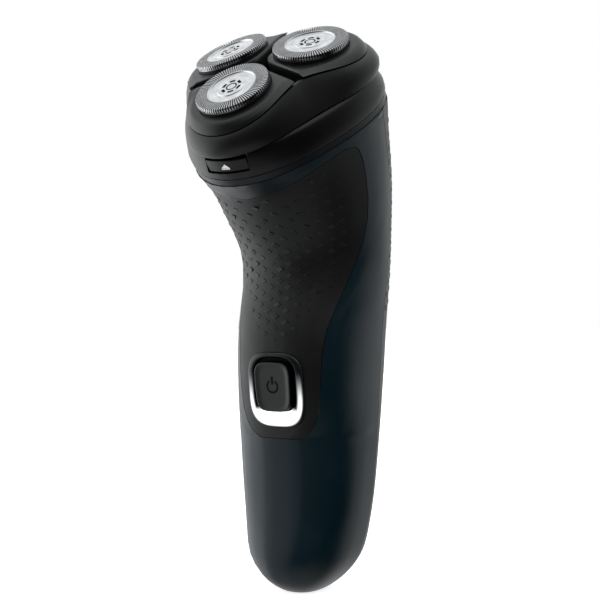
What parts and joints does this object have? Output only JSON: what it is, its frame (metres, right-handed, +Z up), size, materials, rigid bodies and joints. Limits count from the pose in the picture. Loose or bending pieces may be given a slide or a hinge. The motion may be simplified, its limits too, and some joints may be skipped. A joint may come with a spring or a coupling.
{
  "type": "electric shaver",
  "caption": "Cordless rotary shaver: curved handle with a power button and light ring, and a leaning head of three tilting round cutters that opens to empty the hair.",
  "frame": {"origin": "centre of the charging socket in the flat base face", "axes": "+Z up the handle to the head, -Y the front with the power button, +X to the right seen from the front"},
  "size_m": [0.0614, 0.0752, 0.1656],
  "materials": {
    "shell_navy": "satin dark navy moulding",
    "cover_black": "fine matte black moulding",
    "grip_black": "soft textured black grip",
    "collar_black": "matte black",
    "band_grey": "dark grey satin band",
    "head_black": "matte black",
    "pod_black": "satin black",
    "foil_steel": "turned and slotted steel",
    "cutter_steel": "ground steel",
    "pin_steel": "plain steel",
    "button_black": "matte black",
    "bezel_black": "gloss black",
    "light_pipe": "clear white light pipe",
    "socket_black": "matte black",
    "contact_nickel": "nickel plate",
    "chassis_grey": "glass-filled nylon",
    "cell_sleeve": "green sleeve",
    "board_green": "green solder mask",
    "switch_black": "plain",
    "led_clear": "clear lens",
    "motor_can": "plated can",
    "gear_nylon": "natural nylon",
    "pinion_brass": "cut brass",
    "spindle_nylon": "natural acetal",
    "seal_rubber": "soft",
    "frame_grey": "dark grey",
    "lock_grey": "mid grey"
  },
  "bodies": {
    "handle": {"front_shell": "shell_navy", "rear_cover": "cover_black", "front_grip": "grip_black", "neck_ring": "band_grey", "hair_chamber": "collar_black", "hinge_pin": "pin_steel", "base_socket": "socket_black", "socket_pins": "contact_nickel", "chassis": "chassis_grey", "battery": "cell_sleeve", "battery_contacts": "contact_nickel", "circuit_board": "board_green", "board_screws": "pin_steel", "power_switch": "switch_black", "indicator_led": "led_clear", "light_ring": "light_pipe", "button_bezel": "bezel_black", "motor": "motor_can", "gear_plate": "chassis_grey", "plate_screws": "pin_steel", "spindle_seals": "seal_rubber"},
    "power_button": {"power_button": "button_black"},
    "release_button": {"release_button": "collar_black"},
    "motor_rotor": {"motor_shaft": "pin_steel", "motor_pinion": "pinion_brass"},
    "spindle_1": {"drive_gear_1": "gear_nylon", "drive_spindle_1": "spindle_nylon"},
    "spindle_2": {"drive_gear_2": "gear_nylon", "drive_spindle_2": "spindle_nylon"},
    "spindle_3": {"drive_gear_3": "gear_nylon", "drive_spindle_3": "spindle_nylon"},
    "shaving_head": {"head_holder": "head_black", "retaining_frame": "frame_grey", "pod_pins": "pin_steel"},
    "frame_lock": {"frame_lock": "lock_grey"},
    "pod_1": {"pod_1": "pod_black", "cap_ring_1": "frame_grey", "foil_cap_1": "foil_steel"},
    "pod_2": {"pod_2": "pod_black", "cap_ring_2": "frame_grey", "foil_cap_2": "foil_steel"},
    "pod_3": {"pod_3": "pod_black", "cap_ring_3": "frame_grey", "foil_cap_3": "foil_steel"},
    "cutter_1": {"cutter_1": "cutter_steel"},
    "cutter_2": {"cutter_2": "cutter_steel"},
    "cutter_3": {"cutter_3": "cutter_steel"}
  },
  "joints": [
    {"name": "power_press", "type": "slide", "parent": "handle", "child": "power_button", "axis": [0, 0.991, 0.134], "range_m": [0, 0.0008], "stiffness_N_per_m": 2500, "springref_m": -0.0002},
    {"name": "release_press", "type": "slide", "parent": "handle", "child": "release_button", "axis": [0, 0.8059, 0.592], "range_m": [0, 0.0012], "stiffness_N_per_m": 1500, "springref_m": -0.0004},
    {"name": "motor_spin", "type": "hinge", "parent": "handle", "child": "motor_rotor", "pos_m": [0, -0.01179, 0.13566], "axis": [0, -0.592, 0.8059], "continuous": true},
    {"name": "gear_spin_1", "type": "hinge", "parent": "handle", "child": "spindle_1", "pos_m": [0, -0.02605, 0.13015], "axis": [0, -0.592, 0.8059], "continuous": true},
    {"name": "gear_spin_2", "type": "hinge", "parent": "handle", "child": "spindle_2", "pos_m": [0.01277, -0.00822, 0.14325], "axis": [0, -0.592, 0.8059], "continuous": true},
    {"name": "gear_spin_3", "type": "hinge", "parent": "handle", "child": "spindle_3", "pos_m": [-0.01277, -0.00822, 0.14325], "axis": [0, -0.592, 0.8059], "continuous": true},
    {"name": "head_open", "type": "hinge", "parent": "handle", "child": "shaving_head", "pos_m": [0, 0.00322, 0.16133], "axis": [-1, 0, 0], "range_deg": [0, 95]},
    {"name": "lock_turn", "type": "hinge", "parent": "shaving_head", "child": "frame_lock", "pos_m": [0, -0.01848, 0.14477], "axis": [0, -0.592, 0.8059], "range_deg": [0, 90]},
    {"name": "pod_tilt_1", "type": "hinge", "parent": "shaving_head", "child": "pod_1", "pos_m": [0, -0.04244, 0.13244], "axis": [-1, 0, 0], "range_deg": [0, 2], "stiffness_Nm_per_rad": 0.3, "springref_deg": -5.73},
    {"name": "pod_tilt_2", "type": "hinge", "parent": "shaving_head", "child": "pod_2", "pos_m": [0.02304, -0.01028, 0.15606], "axis": [0.5, -0.698, -0.5127], "range_deg": [0, 2], "stiffness_Nm_per_rad": 0.3, "springref_deg": -5.73},
    {"name": "pod_tilt_3", "type": "hinge", "parent": "shaving_head", "child": "pod_3", "pos_m": [-0.02304, -0.01028, 0.15606], "axis": [0.5, 0.698, 0.5127], "range_deg": [0, 2], "stiffness_Nm_per_rad": 0.3, "springref_deg": -5.73},
    {"name": "cutter_spin_1", "type": "hinge", "parent": "pod_1", "child": "cutter_1", "pos_m": [0, -0.03876, 0.14563], "axis": [0, -0.6887, 0.725], "continuous": true},
    {"name": "cutter_spin_2", "type": "hinge", "parent": "pod_2", "child": "cutter_2", "pos_m": [0.01371, -0.01962, 0.15969], "axis": [0.109, -0.5366, 0.8368], "continuous": true},
    {"name": "cutter_spin_3", "type": "hinge", "parent": "pod_3", "child": "cutter_3", "pos_m": [-0.01371, -0.01962, 0.15969], "axis": [-0.109, -0.5366, 0.8368], "continuous": true}
  ],
  "couplings": [
    {"joint": "motor_spin", "follows": "gear_spin_1", "ratio": -3.9167},
    {"joint": "gear_spin_2", "follows": "gear_spin_1", "ratio": 1},
    {"joint": "gear_spin_3", "follows": "gear_spin_1", "ratio": 1},
    {"joint": "cutter_spin_1", "follows": "gear_spin_1", "ratio": 1},
    {"joint": "cutter_spin_2", "follows": "gear_spin_1", "ratio": 1},
    {"joint": "cutter_spin_3", "follows": "gear_spin_1", "ratio": 1}
  ]
}
